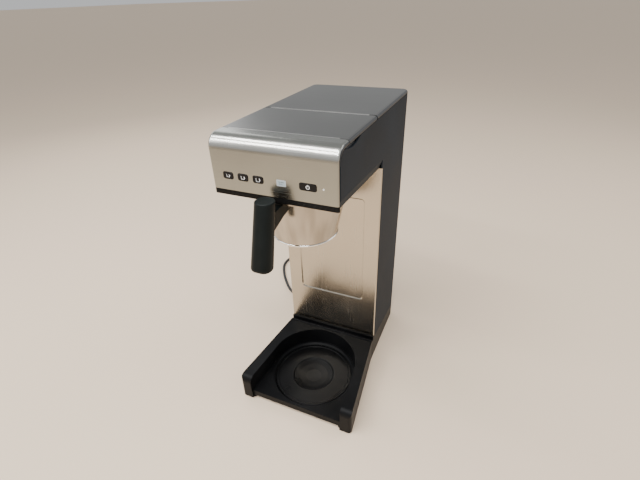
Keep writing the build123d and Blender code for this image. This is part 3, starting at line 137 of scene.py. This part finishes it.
def coil_points():
    """Control points of the coil: half turns inward on the floor, one climbing, the rest outward."""
    points = []
    x, y = COIL_CENTRE
    at, down = y + COIL_OUTER, -1
    radius = COIL_OUTER
    layers = [(0, 0)] * HALF_TURNS_IN + [(0, 1)] + [(1, 1)] * HALF_TURNS_OUT
    for k, (start, end) in enumerate(layers):
        middle = at + down * radius
        for i in range(POINTS_IN_HALF_TURN):
            share = (i + 0.5) / POINTS_IN_HALF_TURN
            angle = math.pi * share
            reach = radius / math.cos(math.pi / POINTS_IN_HALF_TURN / 2)
            ease = share * share * (3 - 2 * share)
            height = COIL_LOW + (start + (end - start) * ease) * (COIL_HIGH - COIL_LOW)
            outward = -down * reach * math.sin(angle)
            points.append((x + outward, middle - down * reach * math.cos(angle), height))
        at += down * 2 * radius
        down = -down
        radius += COIL_STEP / 2 * (-1 if k < HALF_TURNS_IN else 1)
    return points + [(x + tail, at, COIL_HIGH) for tail in COIL_TAIL]


def make_cord():
    """The lead from its strain relief to its plug, one curve with the coil in it."""
    data = bpy.data.curves.new("lead", "CURVE")
    data.dimensions = "3D"
    # The thickness is in the points' radius, because Blender adds that radius to the curve's box
    data.bevel_depth = 1.0
    data.bevel_resolution = 5
    data.resolution_u = 6
    line = data.splines.new("NURBS")
    points = CORD_ROUTE + coil_points()
    line.points.add(len(points) - 1)
    for point, place in zip(line.points, points):
        point.co = (*place, 1)
        point.radius = CORD_RADIUS
    line.order_u = 3
    line.use_endpoint_u = True
    lead = add_object("lead", data)
    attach(lead, "housing")
    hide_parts("mains_cord", "cord_coil")
    return lead


class Value:
    """A node output in one material, with arithmetic; node() adds any other node."""

    def __init__(self, material, output):
        self.material, self.output = material, output

    def node(self, kind, inputs=(), out=0, **settings):
        made = self.material.node_tree.nodes.new(kind)
        for key, value in settings.items():
            setattr(made, key, value)
        for key, value in dict(inputs).items():
            self.feed(made.inputs[key], value)
        return Value(self.material, made.outputs[out])

    def feed(self, socket, value):
        if isinstance(value, Value):
            self.material.node_tree.links.new(value.output, socket)
        else:
            socket.default_value = value

    def maths(self, operation, *values):
        return self.node("ShaderNodeMath", enumerate((self, *values)), operation=operation)

    def __add__(self, other):
        return self.maths("ADD", other)

    def __sub__(self, other):
        return self.maths("SUBTRACT", other)

    def __rsub__(self, other):
        return self.node("ShaderNodeMath", {0: other, 1: self}, operation="SUBTRACT")

    def __mul__(self, other):
        return self.maths("MULTIPLY", other)

    def __lt__(self, other):
        return self.maths("LESS_THAN", other)

    def __gt__(self, other):
        return self.maths("GREATER_THAN", other)

    def __abs__(self):
        return self.maths("ABSOLUTE")

    __radd__, __rmul__ = __add__, __mul__

    def ramp(self, low=0.0, high=1.0):
        """0 up to low, 1 from high on, and even in between; low may be the larger of the two."""
        return self.node("ShaderNodeMapRange", {"Value": self, "From Min": low, "From Max": high})

    def mix(self, first, second):
        """first where self is 0, second where it is 1."""
        return self.node("ShaderNodeMix", {0: self, 6: first, 7: second}, 2, data_type="RGBA")


class Finish:
    """A material with one Principled shader; place holds object coordinates in metres."""

    def __init__(self, name, metallic=0.0, coat=0.0, coat_roughness=0.1, specular=0.5):
        self.material = bpy.data.materials.new(name)
        self.material.use_nodes = True
        self.shader = self.material.node_tree.nodes["Principled BSDF"]
        self.base = Value(self.material, self.shader.outputs[0])
        self.place = self.base.node("ShaderNodeTexCoord", out=3)
        self.set("Metallic", metallic)
        self.set("Coat Weight", coat)
        self.set("Coat Roughness", coat_roughness)
        self.set("Specular IOR Level", specular)

    def set(self, socket, value):
        self.base.feed(self.shader.inputs[socket], value)

    def paint(self, color):
        self.color = color
        self.set("Base Color", color)

    def axis(self, index):
        return self.place.node("ShaderNodeSeparateXYZ", {0: self.place}, index)

    def axes(self):
        return self.axis(0), self.axis(1), self.axis(2)

    def noise(self, scale, detail=2.0, rough=0.5, stretch=(1, 1, 1)):
        inputs = {0: self.place, 1: stretch}
        spread = self.place.node("ShaderNodeVectorMath", inputs, operation="MULTIPLY")
        inputs = {"Vector": spread, "Scale": scale, "Detail": detail, "Roughness": rough}
        return self.place.node("ShaderNodeTexNoise", inputs)

    def bump(self, height, strength, distance):
        inputs = {"Height": height, "Strength": strength, "Distance": distance}
        self.set("Normal", self.base.node("ShaderNodeBump", inputs))


def rgb(color):
    return (*color, 1.0)


def dress(finish, *nodes):
    for name in nodes:
        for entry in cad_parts[name].material_slots:
            entry.material = finish.material


def brushed(name, color, dark, roughness, along, smudge, groove):
    """Brushed stainless steel: fine streaks along one axis, soft smudges over them."""
    f = Finish(name, metallic=1.0)
    stretch = [STREAKS_ACROSS] * 3
    stretch[along] = STREAKS_ALONG
    streaks = f.noise(1.0, 3.0, 0.6, stretch)
    cloud = f.noise(16.0, 3.0, 0.55)
    wipe = f.noise(5.0, 2.0, 0.5, (1.0, 1.0, 1.6))
    tone = 0.35 * streaks + smudge * cloud + 0.45 * wipe
    f.paint(tone.ramp(0.32, 0.95).mix(rgb(dark), rgb(color)))
    f.set("Roughness", 0.16 * (streaks - 0.5) + 0.12 * (cloud - 0.5) + roughness)
    f.bump(streaks, groove, STREAK_HEIGHT)
    return f


def sheet_edges(f, edge):
    """Painted shade outside the edge on the rounded sides, painted highlights along the lid's seams and on
    the front bend.
    """
    x, y, z = f.axes()
    # The front bend's lighter colour is a painted highlight.
    bend_highlight = (z - BEND_LOW).ramp(0.0, BEND_SOFT_LOW) * (z - BEND_HIGH).ramp(0.0, -BEND_SOFT_HIGH)
    bend_highlight = bend_highlight * (y < LID_FRONT - SEAM_HALF_WIDTH)
    seams = (LID_FRONT, LID_REAR, LID_REAR + LID_REAR_GAP)
    # The bright lines along the lid's seams are painted highlights.
    seam_highlight = sum(abs(y - place) < SEAM_HALF_WIDTH for place in seams).ramp()
    seam_highlight = seam_highlight * (abs(x) < SEAM_HALF_LENGTH)
    # The dark colour outside the edge is painted shade on the rounded sides, not a coating.
    edge_shade = abs(x) > edge
    # These colours are a painted highlight for the bend, a painted highlight for the seams and painted shade
    # for the side edges.
    bend_highlight_color, seam_highlight_color, edge_shade_color = rgb((0.6, 0.59, 0.55)), rgb((0.93, 0.92, 0.89)), rgb((0.02, 0.022, 0.025))
    f.paint(edge_shade.mix(seam_highlight.mix(bend_highlight.mix(f.color, bend_highlight_color), seam_highlight_color), edge_shade_color))
    # Where the shade is painted the sheet is made non-metal as well.
    f.set("Metallic", 1.0 - edge_shade)


def painted_reflection_bands(f):
    """Painted reflection: broad light and dark upright bands over the basket's steel."""
    # The darker bands are painted reflections of the room.
    reflection_bands = f.noise(1.0, 2.0, 0.5, (42.0, 42.0, 4.0)).ramp(0.36, 0.64)
    f.paint((0.75 * reflection_bands).mix(f.color, rgb((0.3, 0.265, 0.22))))


def moulded(name, color, roughness, grain, depth, specular=0.5):
    """Plastic, rubber or a casting: an even grain, so many to a metre, and wear in colour and gloss."""
    f = Finish(name, specular=specular)
    fine = f.noise(grain, 2.0, 0.6)
    broad = f.noise(14.0, 3.0, 0.5)
    lighter = [1.35 * part + 0.004 for part in color]
    f.paint(broad.ramp(0.35, 0.75).mix(rgb(color), rgb(lighter)))
    f.set("Roughness", 0.18 * (broad - 0.5) + roughness)
    f.bump(fine, depth, GRAIN_HEIGHT)
    return f


def smooth(name, color, roughness, spread, spots, detail=2.0, metallic=0.0, coat=0.0):
    """A smooth surface in one colour, rougher in spots by up to the spread."""
    f = Finish(name, metallic=metallic, coat=coat)
    f.paint(rgb(color))
    f.set("Roughness", roughness + spread * f.noise(spots, detail))
    return f


def cup_sign(x, up, centre, size):
    """A cup that is open at the top, with a short ear on its right."""
    across = x - centre
    height = up + CUP_DROP
    cup = (abs(across) < size) * (abs(height) < 0.9 * size)
    hollow = (abs(across) < size - CUP_LINE) * (height > CUP_LINE - 0.9 * size)
    ear = (abs(across - size - EAR_GAP) < EAR_HALF_WIDTH) * (abs(up) < 0.45 * size)
    return (cup - cup * hollow + ear).ramp()


def power_sign(x, up):
    """A ring that is open at the top, with a stroke in its opening."""
    across = x - POWER_X
    radius = (across * across + up * up).maths("SQRT")
    closed = ((abs(across) > RING_HALF_GAP) + (up < 0)).ramp()
    ring = (abs(radius - RING_RADIUS) < RING_HALF_LINE) * closed
    stroke = (abs(across) < STROKE_HALF_WIDTH) * (abs(up - STROKE_UP) < STROKE_HALF_HEIGHT)
    return ring + stroke


def button_finish():
    """Glossy black caps with generic white signs on their front: cups and an on-off ring."""
    f = Finish("button_gloss", coat=0.1, specular=0.15)
    x, y, z = f.axes()
    up = z - CONTROL_Z
    signs = sum(cup_sign(x, up, centre, size) for centre, size in CUPS) + power_sign(x, up)
    ink = (signs * (y < HEAD_FRONT - CAP_PROUD)).ramp()
    f.paint(ink.mix(rgb((0.004, 0.004, 0.005)), rgb((0.85, 0.86, 0.86))))
    f.set("Roughness", 0.12 * f.noise(220.0) + 0.12 + 0.2 * ink)
    return f


def display_finish():
    """A pale display with two rows of plain dark cells inside a lighter border."""
    f = Finish("display_blue", coat=0.8, coat_roughness=0.05)
    across, up = f.axis(0) - DISPLAY_X, f.axis(2) - CONTROL_Z
    border = ((abs(across) > DISPLAY_HALF_WIDTH) + (abs(up) > DISPLAY_HALF_HEIGHT)).ramp()
    rows = sum(
        (abs(up - height) < ROW_HALF_HEIGHT) * (abs(across - middle) < half_width)
        for height, middle, half_width in DISPLAY_ROWS
    )
    cells = (rows * (f.noise(900.0, 1.0) > 0.45)).ramp()
    face = cells.mix(rgb((0.34, 0.42, 0.46)), rgb((0.12, 0.16, 0.19)))
    f.paint(border.mix(face, rgb((0.42, 0.47, 0.5))))
    f.set("Roughness", 0.12)
    return f


def dress_steel():
    """The sheets on top and in front, the splash plate, the basket and the bright metal parts."""
    # All these sheets are one brushed steel; the top's darker colour and the plate's and basket's warmer
    # colour are painted reflections of the room.
    top = brushed(
        "top_steel", (0.24, 0.24, 0.232), dark=(0.155, 0.154, 0.148),
        roughness=0.34, along=ACROSS, smudge=0.5, groove=0.1,
    )
    sheet_edges(top, TOP_EDGE)
    dress(top, "reservoir_lid", "rear_top_cover")
    face = brushed(
        "face_steel", (0.37, 0.375, 0.345), dark=(0.275, 0.28, 0.257),
        roughness=0.24, along=ACROSS, smudge=0.5, groove=0.05,
    )
    sheet_edges(face, FACE_EDGE)
    dress(face, "front_panel")
    plate = brushed(
        "plate_steel", (0.57, 0.52, 0.435), dark=(0.47, 0.425, 0.355),
        roughness=0.24, along=UPRIGHT, smudge=0.3, groove=0.003,
    )
    dress(plate, "splash_plate")
    bowl = brushed(
        "basket_steel", (0.55, 0.5, 0.425), dark=(0.455, 0.41, 0.35),
        roughness=0.2, along=UPRIGHT, smudge=0.3, groove=0.01,
    )
    painted_reflection_bands(bowl)
    dress(bowl, "filter_basket")
    ring = smooth("polished_steel", (0.86, 0.85, 0.83), 0.04, spread=0.1, spots=60.0, metallic=1.0)
    dress(ring, "basket_base_ring")
    zinc = smooth(
        "zinc_plate", (0.5, 0.51, 0.52), 0.28, spread=0.3, spots=120.0, detail=3.0, metallic=0.9,
    )
    dress(zinc, "chassis_frame", "lid_hinge_pin", "left_basket_rail", "right_basket_rail")
    dress(zinc, "bottom_plate_screws", "handle_screws")


def dress_outer_plastics():
    panels = moulded("charcoal_panel", (0.017, 0.022, 0.029), 0.58, grain=1600.0, depth=0.12, specular=0.06)
    dress(panels, "left_side_panel", "right_side_panel", "rear_cover")
    base = moulded("black_plastic", (0.0035, 0.0036, 0.004), 0.42, grain=1500.0, depth=0.12, specular=0.09)
    dress(base, "base_moulding", "bottom_plate", "head_underside", "spray_head")
    disc = moulded("disc_black", (0.003, 0.003, 0.0032), 0.3, grain=1200.0, depth=0.02, specular=0.14)
    dress(disc, "drip_disc")
    trim = moulded("trim_plastic", (0.004, 0.004, 0.004), 0.34, grain=1500.0, depth=0.12, specular=0.1)
    dress(trim, "front_trim")
    grip = moulded("handle_plastic", (0.0035, 0.0055, 0.0055), 0.44, grain=1500.0, depth=0.12, specular=0.16)
    dress(grip, "basket_handle")
    feet = moulded("foot_rubber", (0.015, 0.015, 0.015), 0.7, grain=900.0, depth=0.3)
    dress(feet, "rubber_feet")


def dress_controls():
    caps = ("brew_button_left", "brew_button_middle", "brew_button_right", "power_button")
    dress(button_finish(), *caps, "button_switches")
    dress(display_finish(), "display_window", "display_module")
    dress(smooth("lamp_lens", (0.8, 0.79, 0.74), 0.15, spread=0.1, spots=400.0, coat=0.5), "status_lamp")


def dress_lead(lead):
    """The lead's own black on the curve, its relief and its plug, then the tie and the plug's pins."""
    black = moulded("cord_black", (0.012, 0.012, 0.013), 0.5, grain=900.0, depth=0.15)
    dress(black, "cord_strain_relief", "mains_plug")
    lead.data.materials.append(black.material)
    dress(moulded("tie_black", (0.012, 0.012, 0.012), 0.8, grain=2200.0, depth=0.6), "cord_tie")
    brass = smooth("pin_brass", (0.72, 0.68, 0.58), 0.12, spread=0.2, spots=200.0, metallic=1.0)
    dress(brass, "plug_pins")


def dress_inside():
    """The tank, its hoses and the heater, then the boards, sensors and wires."""
    dress(moulded("tank_plastic", (0.52, 0.53, 0.52), 0.35, grain=700.0, depth=0.1), "water_tank")
    hose = moulded("hose_silicone", (0.62, 0.6, 0.55), 0.4, grain=500.0, depth=0.1)
    dress(hose, "cold_water_hose", "riser_hose")
    heater = moulded("heater_aluminium", (0.6, 0.6, 0.6), 0.45, grain=500.0, depth=0.3)
    heater.set("Metallic", 1.0)
    dress(heater, "flow_heater")
    pale = moulded("pale_plastic", (0.7, 0.69, 0.66), 0.4, grain=700.0, depth=0.1)
    dress(pale, "tank_valve", "display_connector", "board_spacers")
    board = moulded("board_green", (0.02, 0.12, 0.055), 0.4, grain=300.0, depth=0.2)
    dress(board, "control_board", "display_board")
    sensor = moulded("sensor_body", (0.6, 0.55, 0.47), 0.5, grain=500.0, depth=0.2)
    dress(sensor, "thermostat", "thermal_fuse")
    dress(moulded("wire_sleeve", (0.16, 0.06, 0.025), 0.4, grain=600.0, depth=0.1), "inner_wires")


def make_floor():
    bpy.ops.mesh.primitive_plane_add(size=FLOOR_SIZE, location=(0, 0, 0))
    floor = bpy.context.object
    floor.name = "floor"
    pale = smooth("floor_pale", (0.88, 0.7, 0.52), 0.55, spread=0.1, spots=30.0)
    floor.data.materials.append(pale.material)


def make_light():
    world = bpy.data.worlds.new("studio")
    world.use_nodes = True
    background = world.node_tree.nodes["Background"]
    background.inputs["Color"].default_value = rgb(WORLD_COLOR)
    background.inputs["Strength"].default_value = WORLD_STRENGTH
    bpy.context.scene.world = world
    for name, place, width, depth, power in LAMPS:
        data = bpy.data.lights.new(name, "AREA")
        data.shape = "RECTANGLE"
        data.size = width
        data.size_y = depth
        data.energy = power
        lamp = add_object(name, data)
        lamp.location = place
        lamp.rotation_euler = (Vector(LAMPS_AIM) - Vector(place)).to_track_quat("-Z", "Y").to_euler()


make_camera()
lead = make_cord()
dress_steel()
dress_outer_plastics()
dress_controls()
dress_lead(lead)
dress_inside()
make_floor()
make_light()
